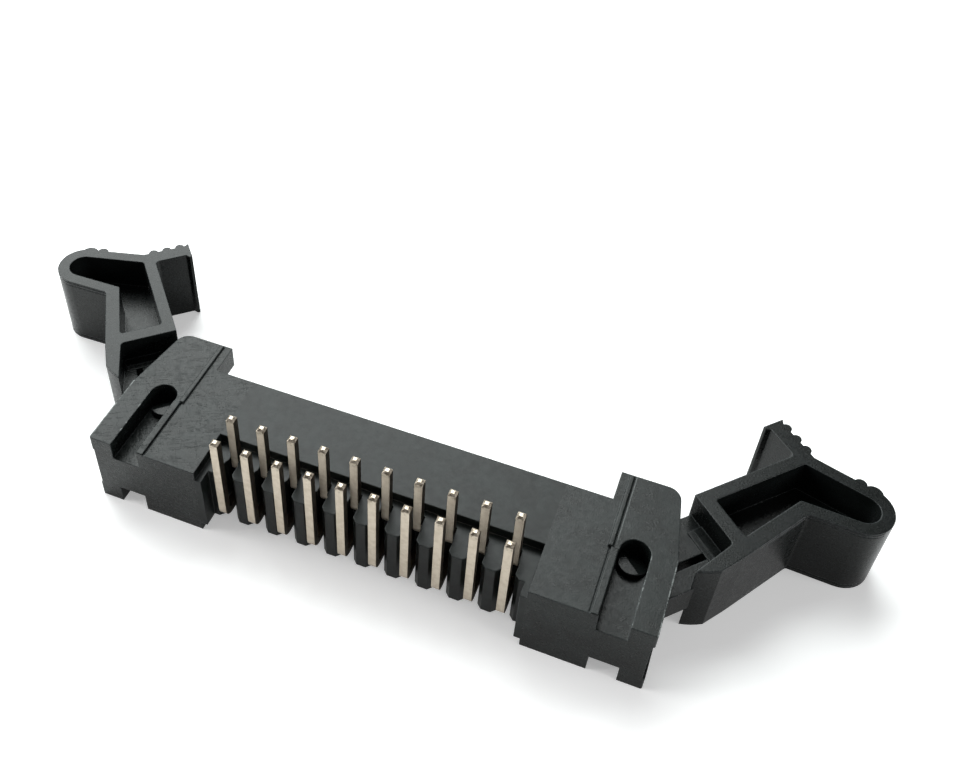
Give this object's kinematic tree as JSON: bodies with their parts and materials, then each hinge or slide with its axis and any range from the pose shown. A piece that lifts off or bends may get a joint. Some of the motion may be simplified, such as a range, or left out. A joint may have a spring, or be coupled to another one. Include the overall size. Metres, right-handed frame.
{
  "type": "ejector header",
  "caption": "Right-angle shrouded pin header with a comb behind its solder tails and a swinging ejector latch at each end, shown with the latches open.",
  "frame": {"origin": "middle of the solder tail field, on the face of the housing that meets the circuit board", "axes": "+X along the contact rows, +Y the way the cable socket is pushed out of the header, +Z the way the solder tails point"},
  "size_m": [0.0576, 0.0183, 0.0086],
  "materials": {
    "housing_moulding": "matte black glass-filled moulding",
    "latch_moulding": "matte black glass-filled moulding",
    "contact": "bright tin plating"
  },
  "bodies": {
    "header": {"housing": "housing_moulding", "contact_a01": "contact", "contact_a02": "contact", "contact_a03": "contact", "contact_a04": "contact", "contact_a05": "contact", "contact_a06": "contact", "contact_a07": "contact", "contact_a08": "contact", "contact_a09": "contact", "contact_a10": "contact", "contact_b01": "contact", "contact_b02": "contact", "contact_b03": "contact", "contact_b04": "contact", "contact_b05": "contact", "contact_b06": "contact", "contact_b07": "contact", "contact_b08": "contact", "contact_b09": "contact", "contact_b10": "contact"},
    "latch_left_body": {"latch_left": "latch_moulding"},
    "latch_right_body": {"latch_right": "latch_moulding"}
  },
  "joints": [
    {"name": "latch_left_hinge", "type": "hinge", "parent": "header", "child": "latch_left_body", "pos_m": [-0.01535, 0.00315, -0.0028], "axis": [0, 0, -1], "range_deg": [0, 42]},
    {"name": "latch_right_hinge", "type": "hinge", "parent": "header", "child": "latch_right_body", "pos_m": [0.01535, 0.00315, -0.0028], "axis": [0, 0, 1], "range_deg": [0, 43.5]}
  ]
}
